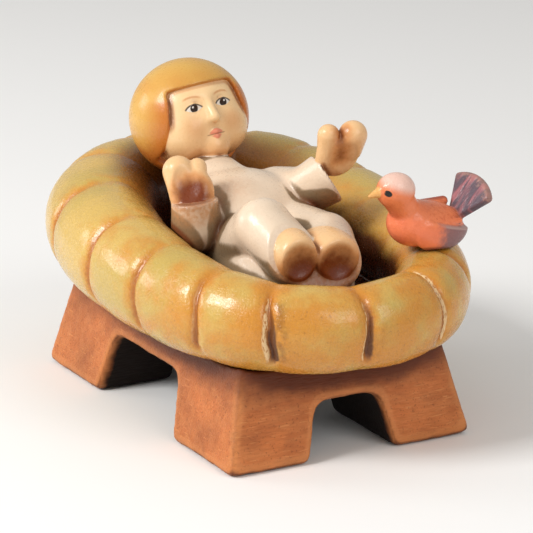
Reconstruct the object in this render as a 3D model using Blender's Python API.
"""A carved and painted wooden baby in a straw nest, on a four-legged stand, with a small bird.

Metres, +Z up, +X from the baby's head towards its feet. The origin is on the ground, under the
middle of the nest.
"""

import math

import bmesh
import bpy
from mathutils import Euler, Vector

# The gap between two pieces that touch.
FIT = 0.0003

# The stand: a block that widens downwards, cut by two channels into four legs.
STAND_LENGTH = 0.072
STAND_WIDTH = 0.0467
STAND_HEIGHT = 0.0188
STAND_LEAN = math.radians(13.2)
STAND_TURN = math.radians(2.4)
STAND_OFFSET_X = 0.0017
STAND_OFFSET_Y = -0.0018
STAND_EDGE_RADIUS = 0.0020
CROSS_CHANNEL_WIDTH = 0.0293
CROSS_CHANNEL_HEIGHT = 0.0110
LONG_CHANNEL_WIDTH = 0.0162
LONG_CHANNEL_HEIGHT = 0.0096
CHANNEL_LEAN = math.radians(13.0)
CHANNEL_CORNER_RADIUS = 0.0025

# The nest: an oval roll of straw with a floor, thicker at the head than at the foot.
NEST_LENGTH = 0.0922
NEST_WIDTH = 0.0647
NEST_SEAT_HEIGHT = 0.0171
NEST_SLOPE = 0.031
NEST_FLOOR = 0.005
ROLL_HEAD_WIDTH = 0.0226
ROLL_FOOT_WIDTH = 0.0125
ROLL_HEAD_HEIGHT = 0.0223
ROLL_FOOT_HEIGHT = 0.0145
ROLL_END_SQUARENESS = 0.0175
ROLL_SIDE_SQUARENESS = 0.0405

# The cuts across the roll, as places round it in degrees from the foot end.
GROOVE_PLACES = (24, 46, 67, 87, 107, 128, 151, 174, 196, 217, 243, 267, 287, 308.5, 329, 356.5)
GROOVE_DEPTH = 0.0010
GROOVE_WIDTH = 0.0021
SWELL_DEPTH = 0.00045

# The baby is drawn on a rule of 62 parts from crown to soles.
BABY_LENGTH = 0.062
BABY_PARTS = 62.0
BABY_OFFSET_Y = -0.0019
BABY_GRAIN = 0.00055
BABY_DETAIL = 0.093

# The bird is drawn on a rule of 21 parts from beak to tail.
BIRD_LENGTH = 0.021
BIRD_PARTS = 21.0
BIRD_PLACE = math.radians(50.0)
BIRD_PLACE_ACROSS = math.radians(106.0)
BIRD_TURN = (-12.0, 0.0, -88.0)
BIRD_SINK = 0.0005
BIRD_GRAIN = 0.00034
BIRD_DETAIL = 0.08


def make_material(name, colour, roughness):
    """A painted or stained wood finish."""
    material = bpy.data.materials.new(name)
    material.use_nodes = True
    shader = material.node_tree.nodes["Principled BSDF"]
    shader.inputs["Base Color"].default_value = (*colour, 1.0)
    shader.inputs["Roughness"].default_value = roughness
    shader.inputs["Metallic"].default_value = 0.0
    return material


def add_object(name, mesh, material=None):
    """Links a new object with one material."""
    piece = bpy.data.objects.new(name, mesh)
    bpy.context.scene.collection.objects.link(piece)
    if material:
        mesh.materials.append(material)
    return piece


def make_cutter(piece):
    """Keeps a cutting shape out of the model."""
    piece.hide_render = True
    piece.display_type = "WIRE"


def cut(piece, cutter, operation="DIFFERENCE"):
    """Cuts a piece with another object."""
    change = piece.modifiers.new(cutter.name, "BOOLEAN")
    change.operation = operation
    change.solver = "EXACT"
    change.object = cutter


class Clay:
    """Forms as distances worked out in a node tree: negative inside a form, zero on its skin."""

    def __init__(self, tree, place):
        self.tree = tree
        self.place = place

    def feed(self, source, socket):
        """Feeds a socket from another one, or gives it a plain value."""
        if isinstance(source, bpy.types.NodeSocket):
            self.tree.links.new(source, socket)
        else:
            socket.default_value = source

    def math(self, operation, *values):
        """One step of arithmetic on numbers."""
        node = self.tree.nodes.new("ShaderNodeMath")
        node.operation = operation
        for socket, value in zip(node.inputs, values):
            self.feed(value, socket)
        return node.outputs[0]

    def vector(self, operation, *values):
        """One step of arithmetic on vectors; a length, distance or dot product is a number."""
        node = self.tree.nodes.new("ShaderNodeVectorMath")
        node.operation = operation
        for socket, value in zip(node.inputs, values):
            self.feed(value, socket)
        gives_number = operation in {"LENGTH", "DISTANCE", "DOT_PRODUCT"}
        return node.outputs[1 if gives_number else 0]

    def scaled(self, vector, factor):
        """A vector times a number."""
        node = self.tree.nodes.new("ShaderNodeVectorMath")
        node.operation = "SCALE"
        self.feed(vector, node.inputs[0])
        self.feed(factor, node.inputs["Scale"])
        return node.outputs[0]

    def parts(self):
        """The three coordinates of the place."""
        node = self.tree.nodes.new("ShaderNodeSeparateXYZ")
        self.feed(self.place, node.inputs[0])
        return node.outputs[0], node.outputs[1], node.outputs[2]

    def seen_from(self, centre, turn=(0.0, 0.0, 0.0)):
        """The same place in the axes of a piece that is moved to centre and turned in degrees."""
        moved = self.vector("SUBTRACT", self.place, centre)
        node = self.tree.nodes.new("ShaderNodeVectorRotate")
        node.rotation_type = "EULER_XYZ"
        node.invert = True
        self.feed(moved, node.inputs["Vector"])
        node.inputs["Rotation"].default_value = [math.radians(angle) for angle in turn]
        return Clay(self.tree, node.outputs[0])

    def ball(self, centre, radius):
        """A ball."""
        return self.math("SUBTRACT", self.vector("DISTANCE", self.place, centre), radius)

    def egg(self, centre, radii, turn=(0.0, 0.0, 0.0)):
        """An ellipsoid, turned in degrees."""
        near = self.seen_from(centre, turn) if any(turn) else self
        offset = near.place if any(turn) else self.vector("SUBTRACT", self.place, centre)
        share = self.vector("DIVIDE", offset, radii)
        steepness = self.vector("DIVIDE", share, radii)
        reach = self.math("MAXIMUM", self.vector("LENGTH", share), 0.001)
        slope = self.math("MAXIMUM", self.vector("LENGTH", steepness), 0.001 / max(radii))
        beyond = self.math("SUBTRACT", reach, 1.0)
        return self.math("DIVIDE", self.math("MULTIPLY", reach, beyond), slope)

    def limb(self, start, end, start_radius, end_radius):
        """A round bar between two points that changes its thickness."""
        run = [b - a for a, b in zip(start, end)]
        square = sum(step * step for step in run)
        from_start = self.vector("SUBTRACT", self.place, start)
        along = self.vector("DOT_PRODUCT", from_start, [step / square for step in run])
        share = self.math("MINIMUM", self.math("MAXIMUM", along, 0.0), 1.0)
        nearest = self.scaled(run, share)
        away = self.vector("DISTANCE", from_start, nearest)
        radius = self.math("MULTIPLY_ADD", share, end_radius - start_radius, start_radius)
        return self.math("SUBTRACT", away, radius)

    def beyond(self, point, direction):
        """The half of space that lies behind a plane; direction points out of it."""
        length = math.sqrt(sum(step * step for step in direction))
        unit = [step / length for step in direction]
        level = sum(a * b for a, b in zip(point, unit))
        return self.math("SUBTRACT", self.vector("DOT_PRODUCT", self.place, unit), level)

    def join(self, blend, *forms):
        """One form from several, with soft valleys of the blend's width between them."""
        whole = forms[0]
        for form in forms[1:]:
            whole = self.math("SMOOTH_MIN", whole, form, blend)
        return whole

    def common(self, blend, *forms):
        """What several forms share, with soft edges."""
        whole = forms[0]
        for form in forms[1:]:
            whole = self.math("SMOOTH_MAX", whole, form, blend)
        return whole

    def carve(self, form, blend, *cutters):
        """A form less its cutters, with soft edges."""
        for cutter in cutters:
            form = self.math("SMOOTH_MAX", form, self.math("MULTIPLY", cutter, -1.0), blend)
        return form


def both_sides(point):
    """A point and its twin across the middle plane."""
    x, y, z = point
    return (x, y, z), (x, -y, z)


HEAD_CENTRE = (-20.3, -1.1, 23.9)
HEAD_TURN = (6.5, -20.0, -4.0)
HAIR_HALF_OPENING = 6.9
FRINGE_HEIGHT = 4.7
TAIL_HALF_ANGLE = math.radians(42.0)


def head_form(clay):
    """A round head with a smooth bowl of hair, straight across the forehead."""
    head = clay.seen_from(HEAD_CENTRE, HEAD_TURN)
    face = head.egg((-0.4, 0.0, 0.2), (9.7, 8.7, 9.6))
    for cheek in both_sides((3.7, 2.5, -3.2)):
        face = head.join(1.6, face, head.ball(cheek, 4.9))
    face = head.join(2.0, face, head.ball((6.2, 0.0, -6.4), 2.7))
    face = head.join(0.9, face, head.limb((9.0, 0.0, 0.6), (9.5, 0.0, -1.3), 0.6, 1.1))
    cap = head.egg((-0.5, 0.0, 0.0), (10.5, 10.8, 10.6))
    x, y, z = head.parts()
    beside = head.math("SUBTRACT", head.math("ABSOLUTE", y), HAIR_HALF_OPENING)
    above = head.math("SUBTRACT", z, FRINGE_HEIGHT)
    behind = head.math("MULTIPLY", x, -1.0)
    opening = head.common(0.8, beside, above, behind)
    hair = head.carve(cap, 0.7, opening)
    return head.join(0.25, face, hair)


def hand_form(clay, wrist, turn, side, spread):
    """A mitten hand, palm towards the feet: a finger lobe and a thumb lobe with a cleft between."""
    hand = clay.seen_from(wrist, turn)
    palm = hand.egg((0.0, 0.0, 2.4), (2.3, 3.9, 4.4))
    fingers = hand.limb((0.1, 1.5 * spread * side, 3.8), (0.0, 1.9 * spread * side, 6.5), 2.4, 2.45)
    thumb = hand.limb((0.3, -1.7 * spread * side, 3.4), (0.2, -2.0 * spread * side, 6.7), 2.0, 2.0)
    return hand.join(0.5, palm, fingers, thumb)


def baby_form(clay):
    """The whole baby on its back: head, chest, raised arms, legs drawn up in a long robe."""
    head = head_form(clay)
    neck = clay.limb((-13.5, -0.8, 14.4), (-6.5, -0.3, 13.0), 5.0, 5.4)
    chest = clay.egg((-1.0, 0.0, 9.2), (13.0, 11.6, 9.0))
    skirt = clay.egg((14.5, 0.3, 3.5), (15.0, 10.8, 8.6))
    right_thigh = clay.limb((7.0, -4.6, 6.4), (17.4, -5.2, 13.1), 5.4, 4.8)
    right_shin = clay.limb((17.4, -5.2, 13.1), (25.0, -3.7, 9.6), 4.8, 4.8)
    left_thigh = clay.limb((5.0, 4.8, 8.4), (18.5, 5.9, 9.6), 5.6, 4.8)
    left_shin = clay.limb((18.5, 5.9, 9.6), (25.0, 3.9, 7.9), 4.8, 4.9)
    robe = clay.join(2.2, chest, skirt)
    robe = clay.join(1.4, robe, right_thigh, left_thigh)
    robe = clay.join(0.7, robe, right_shin, left_shin)
    right_arm = clay.limb((-3.0, -7.6, 12.6), (4.6, -11.2, 11.0), 4.4, 4.2)
    right_sleeve = clay.limb((4.8, -11.8, 10.8), (5.4, -12.2, 16.0), 4.1, 4.0)
    right_cuff = clay.beyond((5.2, -12.2, 15.6), (-0.1, -0.1, 1.0))
    right_sleeve = clay.common(0.5, right_sleeve, right_cuff)
    left_arm = clay.limb((-3.0, 7.6, 13.0), (3.6, 9.8, 14.6), 4.5, 4.0)
    left_sleeve = clay.limb((3.6, 9.6, 14.4), (8.6, 13.0, 18.4), 4.2, 4.8)
    left_cuff = clay.beyond((7.8, 11.4, 18.2), (0.15, 0.72, 0.68))
    left_sleeve = clay.common(0.5, left_sleeve, left_cuff)
    robe = clay.join(1.5, robe, clay.join(1.2, right_arm, right_sleeve))
    robe = clay.join(1.5, robe, clay.join(1.2, left_arm, left_sleeve))
    hem = clay.beyond((27.8, 0.0, 6.0), (0.93, 0.0, 0.37))
    robe = clay.common(0.6, robe, hem)
    feet = clay.join(0.1, clay.egg((25.2, -3.7, 9.8), (3.7, 4.2, 4.9)),
                     clay.egg((25.0, 3.6, 7.9), (3.7, 4.4, 4.9)))
    feet = clay.common(0.9, feet, clay.beyond((28.2, 0.0, 0.0), (1.0, 0.0, 0.0)))
    right_hand = hand_form(clay, (5.2, -12.7, 14.8), (0.0, -30.0, -20.0), -1.0, 0.85)
    left_hand = hand_form(clay, (8.8, 12.8, 19.8), (0.0, 25.0, -5.0), 1.0, 1.12)
    body = clay.join(0.3, robe, feet)
    body = clay.join(0.8, body, neck)
    body = clay.join(0.5, body, head)
    return clay.join(0.4, body, right_hand, left_hand)


def bird_form(clay):
    """A plump little bird: body, head, beak, two folded wings and a raised fan of a tail."""
    body = clay.egg((-0.8, 0.0, 3.9), (6.9, 4.3, 3.9), (0.0, -7.0, 0.0))
    breast = clay.ball((2.4, 0.0, 4.7), 3.9)
    head = clay.join(0.6, clay.limb((3.5, 0.0, 7.0), (5.2, 0.0, 9.6), 2.5, 2.6),
                     clay.egg((5.5, 0.0, 10.7), (3.4, 2.95, 3.0)))
    beak = clay.limb((8.2, 0.0, 10.4), (11.0, 0.0, 9.8), 1.2, 0.3)
    whole = clay.join(0.7, clay.join(1.5, body, breast), head)
    whole = clay.join(0.5, whole, beak)
    for side in (-1.0, 1.0):
        wing = clay.egg((-2.4, 3.1 * side, 3.6), (5.6, 1.6, 3.5), (4.0 * side, -2.0, 9.0 * side))
        edge = clay.beyond((-2.0, 0.0, 5.7), (-0.25, 0.0, 0.97))
        whole = clay.join(0.8, whole, clay.common(0.4, wing, edge))
    tail = clay.seen_from((-6.2, 0.0, 3.9), (0.0, 52.0, 0.0))
    x, y, z = tail.parts()
    widening = tail.math("MULTIPLY_ADD", x, math.sin(TAIL_HALF_ANGLE), -0.8)
    across = tail.math("MULTIPLY", tail.math("ABSOLUTE", y), math.cos(TAIL_HALF_ANGLE))
    beside = tail.math("ADD", across, widening)
    end = tail.ball((0.0, 0.0, 0.0), 8.1)
    flat = tail.math("SUBTRACT", tail.math("ABSOLUTE", z), 0.75)
    fan = tail.common(0.9, beside, end, flat)
    return clay.join(0.6, whole, fan)


def roll_half_width(angle):
    """Half the roll's width at an angle from the foot end."""
    middle = (ROLL_HEAD_WIDTH + ROLL_FOOT_WIDTH) / 4
    change = (ROLL_FOOT_WIDTH - ROLL_HEAD_WIDTH) / 4
    return middle + change * math.cos(angle)


def roll_half_height(angle):
    """Half the roll's height at an angle from the foot end."""
    middle = (ROLL_HEAD_HEIGHT + ROLL_FOOT_HEIGHT) / 4
    change = (ROLL_FOOT_HEIGHT - ROLL_HEAD_HEIGHT) / 4
    return middle + change * math.cos(angle)


# The centre line of the roll, as half axes, and its shift that centres the whole nest.
LINE_LENGTH = NEST_LENGTH / 2 - (ROLL_HEAD_WIDTH + ROLL_FOOT_WIDTH) / 4
LINE_WIDTH = NEST_WIDTH / 2 - (ROLL_HEAD_WIDTH + ROLL_FOOT_WIDTH) / 4
LINE_SHIFT = (ROLL_HEAD_WIDTH - ROLL_FOOT_WIDTH) / 4
END_SQUARING = ROLL_END_SQUARENESS * LINE_LENGTH
SIDE_SQUARING = ROLL_SIDE_SQUARENESS * LINE_WIDTH


def line_point(angle):
    """A point of the roll's centre line, seen from above."""
    x = LINE_LENGTH * math.cos(angle) - END_SQUARING * (math.cos(3 * angle) - math.cos(angle))
    y = LINE_WIDTH * math.sin(angle) + SIDE_SQUARING * (math.sin(3 * angle) + math.sin(angle))
    return Vector((x + LINE_SHIFT, y))


def line_direction(angle):
    """The way in which the centre line runs there."""
    x = -LINE_LENGTH * math.sin(angle) - END_SQUARING * (math.sin(angle) - 3 * math.sin(3 * angle))
    y = LINE_WIDTH * math.cos(angle) + SIDE_SQUARING * (3 * math.cos(3 * angle) + math.cos(angle))
    return Vector((x, y))


def seat_height(x):
    """The height of the sloping plane on which the nest sits."""
    return NEST_SEAT_HEIGHT - NEST_SLOPE * x


def roll_relief(angle, around):
    """How far the roll's skin stands in or out of its smooth form: swells and cuts."""
    places = [math.radians(place) for place in GROOVE_PLACES]
    places = [places[-1] - math.tau] + places + [places[0] + math.tau]
    radius = line_direction(angle).length
    relief = 0.0
    for before, after in zip(places, places[1:]):
        if before <= angle < after:
            share = (angle - before) / (after - before)
            relief = SWELL_DEPTH * (math.sin(math.pi * share) ** 0.7 - 1.0)
            nearest = min(angle - before, after - angle) * radius
            notch = max(0.0, 1.0 - nearest / (GROOVE_WIDTH / 2))
            outside = 0.5 + 0.5 * math.cos(around - math.radians(14))
            relief -= GROOVE_DEPTH * notch * outside ** 1.5
    return relief


def roll_point(angle, around, grow=0.0, carved=True):
    """A point of the roll's skin; around is 0 at its outer side and a quarter turn at its top."""
    centre = line_point(angle)
    direction = line_direction(angle).normalized()
    outward = Vector((direction.y, -direction.x))
    relief = roll_relief(angle, around) if carved else 0.0
    width = roll_half_width(angle) + grow + relief
    half_height = roll_half_height(angle)
    height = half_height + grow + relief
    plan = centre + outward * width * math.cos(around)
    middle = seat_height(centre.x) + half_height
    return Vector((plan.x, plan.y, middle + height * math.sin(around)))


def nest_columns():
    """The angles of the nest's columns: each cut has its own three, with others between."""
    places = [math.radians(place) for place in GROOVE_PLACES]
    columns = []
    for place, following in zip(places, places[1:] + [places[0] + math.tau]):
        half = GROOVE_WIDTH / 2 / line_direction(place).length
        half_after = GROOVE_WIDTH / 2 / line_direction(following).length
        start = place + half
        end = following - half_after
        columns += [place, start]
        columns += [start + (end - start) * share for share in (0.3, 0.7)]
        columns.append(end)
    return [column % math.tau for column in columns]


def nest_mesh(name, columns, rows, grow=0.0, carved=True):
    """The roll with its floor, as one closed skin of columns round the oval."""
    mesh = bmesh.new()
    floor_step = 0.75
    rings = []
    for angle in columns:
        half_height = roll_half_height(angle)
        floor = NEST_FLOOR + grow
        dip = math.asin((half_height - floor) / (half_height + grow))
        start = -math.pi / 2
        end = math.pi + dip
        ring = []
        for row in range(rows + 1):
            around = start + (end - start) * row / rows
            ring.append(roll_point(angle, around, grow, carved))
        inner = ring[-1]
        x, y = inner.x * floor_step, inner.y * floor_step
        ring.append(Vector((x, y, seat_height(x) + floor)))
        outer = ring[0]
        x, y = outer.x * floor_step, outer.y * floor_step
        ring.insert(0, Vector((x, y, seat_height(x) - grow)))
        rings.append([mesh.verts.new(point) for point in ring])
    for ring, following in zip(rings, rings[1:] + rings[:1]):
        for low, high in zip(range(len(ring) - 1), range(1, len(ring))):
            mesh.faces.new((ring[low], following[low], following[high], ring[high]))
    under = mesh.verts.new((0.0, 0.0, seat_height(0.0) - grow))
    over = mesh.verts.new((0.0, 0.0, seat_height(0.0) + NEST_FLOOR + grow))
    for ring, following in zip(rings, rings[1:] + rings[:1]):
        mesh.faces.new((following[0], ring[0], under))
        mesh.faces.new((ring[-1], following[-1], over))
    bmesh.ops.recalc_face_normals(mesh, faces=mesh.faces)
    data = bpy.data.meshes.new(name)
    mesh.to_mesh(data)
    mesh.free()
    return data


def make_nest():
    """The straw nest."""
    rows = 16
    material = make_material("straw stain", (0.56, 0.36, 0.09), 0.35)
    mesh = nest_mesh("straw_nest", nest_columns(), rows)
    nest = add_object("straw_nest", mesh, material)
    mesh.shade_smooth()
    return nest


def channel_mesh(name, width, height, along_x):
    """A channel's cutter: leaning sides and a flat roof with round corners."""
    reach = STAND_LENGTH
    lean = math.tan(CHANNEL_LEAN)
    below = 0.002
    radius = CHANNEL_CORNER_RADIUS
    half = width / 2
    centre_height = height - radius
    centre_side = half - lean * centre_height - radius / math.cos(CHANNEL_LEAN)
    profile = [(-half - lean * below, -below), (half + lean * below, -below)]
    steps = 5
    for step in range(steps + 1):
        angle = CHANNEL_LEAN + (math.pi / 2 - CHANNEL_LEAN) * step / steps
        profile.append((centre_side + radius * math.cos(angle),
                        centre_height + radius * math.sin(angle)))
    profile += [(-side, up) for side, up in reversed(profile[2:])]
    mesh = bmesh.new()
    if along_x:
        front = [mesh.verts.new((-reach, side, up)) for side, up in profile]
        push = Vector((2 * reach, 0.0, 0.0))
    else:
        front = [mesh.verts.new((side, -reach, up)) for side, up in profile]
        push = Vector((0.0, 2 * reach, 0.0))
    face = mesh.faces.new(front)
    extruded = bmesh.ops.extrude_face_region(mesh, geom=[face])
    moved = [item for item in extruded["geom"] if isinstance(item, bmesh.types.BMVert)]
    bmesh.ops.translate(mesh, verts=moved, vec=push)
    bmesh.ops.recalc_face_normals(mesh, faces=mesh.faces)
    data = bpy.data.meshes.new(name)
    mesh.to_mesh(data)
    mesh.free()
    return data


def stands_outside(point):
    """Whether a point of the stand lies on its outer faces or underneath it."""
    inset = math.tan(STAND_LEAN) * point.z
    near = STAND_EDGE_RADIUS / 10
    beside_x = abs(abs(point.x) + inset - STAND_LENGTH / 2) < near
    beside_y = abs(abs(point.y) + inset - STAND_WIDTH / 2) < near
    return beside_x or beside_y or point.z < near


def wear_edges(data):
    """Rounds the outer edges of the stand."""
    mesh = bmesh.new()
    mesh.from_mesh(data)
    worn = [edge for edge in mesh.edges
            if edge.calc_face_angle(0.0) > math.radians(35)
            and all(stands_outside(vertex.co) for vertex in edge.verts)]
    bmesh.ops.bevel(mesh, geom=worn, offset=STAND_EDGE_RADIUS, segments=2, profile=0.5,
                    affect="EDGES", clamp_overlap=False)
    mesh.to_mesh(data)
    mesh.free()


def make_stand():
    """The stand: a leaning block cut by two channels, with the nest's seat in its top."""
    lean = math.tan(STAND_LEAN) * STAND_HEIGHT
    mesh = bmesh.new()
    rings = []
    for inset, height in ((0.0, 0.0), (lean, STAND_HEIGHT)):
        x = STAND_LENGTH / 2 - inset
        y = STAND_WIDTH / 2 - inset
        corners = ((-x, -y), (x, -y), (x, y), (-x, y))
        rings.append([mesh.verts.new((*corner, height)) for corner in corners])
    mesh.faces.new(rings[0])
    mesh.faces.new(rings[1])
    for first in range(4):
        second = (first + 1) % 4
        mesh.faces.new((rings[0][first], rings[0][second], rings[1][second], rings[1][first]))
    bmesh.ops.recalc_face_normals(mesh, faces=mesh.faces)
    data = bpy.data.meshes.new("stand")
    mesh.to_mesh(data)
    mesh.free()
    stand = add_object("stand", data, make_material("brown stain", (0.31, 0.12, 0.05), 0.5))
    cross = add_object("cross_channel", channel_mesh(
        "cross_channel", CROSS_CHANNEL_WIDTH, CROSS_CHANNEL_HEIGHT, along_x=False))
    long = add_object("long_channel", channel_mesh(
        "long_channel", LONG_CHANNEL_WIDTH, LONG_CHANNEL_HEIGHT, along_x=True))
    placed = (STAND_OFFSET_X, STAND_OFFSET_Y, 0.0)
    for piece in (stand, cross, long):
        piece.location = placed
        piece.rotation_euler = Euler((0.0, 0.0, STAND_TURN))
    for cutter in (cross, long):
        make_cutter(cutter)
        cut(stand, cutter)
    shown = bpy.context.evaluated_depsgraph_get()
    stand.data = bpy.data.meshes.new_from_object(stand.evaluated_get(shown))
    stand.modifiers.clear()
    wear_edges(stand.data)
    columns = [math.tau * (step + 0.5) / 48 for step in range(48)]
    seat = add_object("seat", nest_mesh("seat", columns, 16, grow=FIT, carved=False))
    make_cutter(seat)
    cut(stand, seat)
    return stand


def nest_distance(clay):
    """The distance to the smooth nest, in the same units as its sizes."""
    x, y, z = clay.parts()
    from_shift = clay.math("SUBTRACT", x, LINE_SHIFT)
    angle = clay.math("ARCTAN2", clay.math("DIVIDE", y, LINE_WIDTH),
                      clay.math("DIVIDE", from_shift, LINE_LENGTH))
    for _ in range(2):
        angle = nearer_angle(clay, x, y, angle)
    line_x, line_y, _, _ = line_nodes(clay, angle)
    turned = clay.math("COSINE", angle)
    half_width = clay.math("MULTIPLY_ADD", turned, (ROLL_FOOT_WIDTH - ROLL_HEAD_WIDTH) / 4,
                           (ROLL_HEAD_WIDTH + ROLL_FOOT_WIDTH) / 4)
    half_height = clay.math("MULTIPLY_ADD", turned, (ROLL_FOOT_HEIGHT - ROLL_HEAD_HEIGHT) / 4,
                            (ROLL_HEAD_HEIGHT + ROLL_FOOT_HEIGHT) / 4)
    away_x = clay.math("SUBTRACT", x, line_x)
    away_y = clay.math("SUBTRACT", y, line_y)
    across = clay.math("SQRT", clay.math("ADD", clay.math("MULTIPLY", away_x, away_x),
                                         clay.math("MULTIPLY", away_y, away_y)))
    seat = clay.math("MULTIPLY_ADD", line_x, -NEST_SLOPE, NEST_SEAT_HEIGHT)
    up = clay.math("SUBTRACT", z, clay.math("ADD", seat, half_height))
    share_across = clay.math("DIVIDE", across, half_width)
    share_up = clay.math("DIVIDE", up, half_height)
    reach = clay.math("SQRT", clay.math("ADD", clay.math("MULTIPLY", share_across, share_across),
                                        clay.math("MULTIPLY", share_up, share_up)))
    roll = clay.math("MULTIPLY", clay.math("SUBTRACT", reach, 1.0),
                     clay.math("MINIMUM", half_width, half_height))
    floor_top = clay.math("MULTIPLY_ADD", x, -NEST_SLOPE, NEST_SEAT_HEIGHT + NEST_FLOOR)
    floor = clay.math("SUBTRACT", z, floor_top)
    return clay.math("MINIMUM", roll, floor)


def line_nodes(clay, angle):
    """The roll's centre line in nodes: a point and the direction there."""
    cosine = clay.math("COSINE", angle)
    sine = clay.math("SINE", angle)
    triple = clay.math("MULTIPLY", angle, 3.0)
    cosine_triple = clay.math("COSINE", triple)
    sine_triple = clay.math("SINE", triple)
    x = clay.math("MULTIPLY_ADD", cosine, LINE_LENGTH + END_SQUARING, LINE_SHIFT)
    x = clay.math("MULTIPLY_ADD", cosine_triple, -END_SQUARING, x)
    y = clay.math("MULTIPLY", sine, LINE_WIDTH + SIDE_SQUARING)
    y = clay.math("MULTIPLY_ADD", sine_triple, SIDE_SQUARING, y)
    run_x = clay.math("MULTIPLY", sine, -LINE_LENGTH - END_SQUARING)
    run_x = clay.math("MULTIPLY_ADD", sine_triple, 3 * END_SQUARING, run_x)
    run_y = clay.math("MULTIPLY", cosine, LINE_WIDTH + SIDE_SQUARING)
    run_y = clay.math("MULTIPLY_ADD", cosine_triple, 3 * SIDE_SQUARING, run_y)
    return x, y, run_x, run_y


def nearer_angle(clay, x, y, angle):
    """One step from an angle towards the one whose line point is nearest to x, y."""
    line_x, line_y, run_x, run_y = line_nodes(clay, angle)
    along = clay.math("ADD", clay.math("MULTIPLY", clay.math("SUBTRACT", x, line_x), run_x),
                      clay.math("MULTIPLY", clay.math("SUBTRACT", y, line_y), run_y))
    square = clay.math("ADD", clay.math("MULTIPLY", run_x, run_x),
                       clay.math("MULTIPLY", run_y, run_y))
    return clay.math("ADD", angle, clay.math("DIVIDE", along, square))


def make_figure(name, material, form, part, origin, turn, box, grain, detail):
    """A free form cast as a mesh: one part of its rule is part metres, grain is the cell size."""
    tree = bpy.data.node_groups.new(name, "GeometryNodeTree")
    tree.interface.new_socket("Geometry", in_out="INPUT", socket_type="NodeSocketGeometry")
    tree.interface.new_socket("Geometry", in_out="OUTPUT", socket_type="NodeSocketGeometry")
    nodes = tree.nodes
    world = Clay(tree, nodes.new("GeometryNodeInputPosition").outputs[0])
    turned = world.seen_from(origin, turn)
    drawn = Clay(tree, world.scaled(turned.place, 1.0 / part))
    distance = world.math("MULTIPLY", form(drawn), part)
    bed = world.math("SUBTRACT", nest_distance(world), FIT)
    distance = world.carve(distance, 0.0, bed)
    # Distances in millimetres keep the cells on both sides of the skin apart.
    density = world.math("MULTIPLY_ADD", distance, -1000.0, 0.5)
    volume = nodes.new("GeometryNodeVolumeCube")
    tree.links.new(density, volume.inputs["Density"])
    low, high = box
    low = [edge * part + middle for edge, middle in zip(low, origin)]
    high = [edge * part + middle for edge, middle in zip(high, origin)]
    volume.inputs["Min"].default_value = low
    volume.inputs["Max"].default_value = high
    for axis, start, end in zip("XYZ", low, high):
        volume.inputs["Resolution " + axis].default_value = int((end - start) / grain)
    skin = nodes.new("GeometryNodeVolumeToMesh")
    skin.inputs["Threshold"].default_value = 0.5
    tree.links.new(volume.outputs[0], skin.inputs[0])
    finish = nodes.new("GeometryNodeSetMaterial")
    finish.inputs["Material"].default_value = material
    tree.links.new(skin.outputs[0], finish.inputs[0])
    result = nodes.new("NodeGroupOutput")
    tree.links.new(finish.outputs[0], result.inputs[0])
    figure = add_object(name, bpy.data.meshes.new(name), material)
    figure.modifiers.new("form", "NODES").node_group = tree
    fewer = figure.modifiers.new("fewer faces", "DECIMATE")
    fewer.ratio = detail
    return figure


def make_baby():
    """The baby, lying on the nest's floor with its head on the roll."""
    origin = (0.0, BABY_OFFSET_Y, NEST_SEAT_HEIGHT + NEST_FLOOR)
    box = ((-33.0, -19.0, -2.0), (31.0, 18.0, 37.0))
    material = make_material("painted robe", (0.78, 0.72, 0.62), 0.35)
    return make_figure("infant", material, baby_form, BABY_LENGTH / BABY_PARTS, origin,
                       (0.0, 0.0, 0.0), box, BABY_GRAIN, BABY_DETAIL)


def make_bird():
    """The bird, perched on the roll near the baby's feet."""
    perch = roll_point(BIRD_PLACE, BIRD_PLACE_ACROSS, carved=False) - Vector((0.0, 0.0, BIRD_SINK))
    material = make_material("coral paint", (0.75, 0.20, 0.10), 0.35)
    box = ((-15.0, -15.0, -2.0), (15.0, 15.0, 16.0))
    return make_figure("bird", material, bird_form, BIRD_LENGTH / BIRD_PARTS, tuple(perch),
                       BIRD_TURN, box, BIRD_GRAIN, BIRD_DETAIL)


def main():
    """Builds every piece in an empty scene."""
    for old in list(bpy.data.objects):
        bpy.data.objects.remove(old, do_unlink=True)
    make_stand()
    make_nest()
    make_baby()
    make_bird()


main()
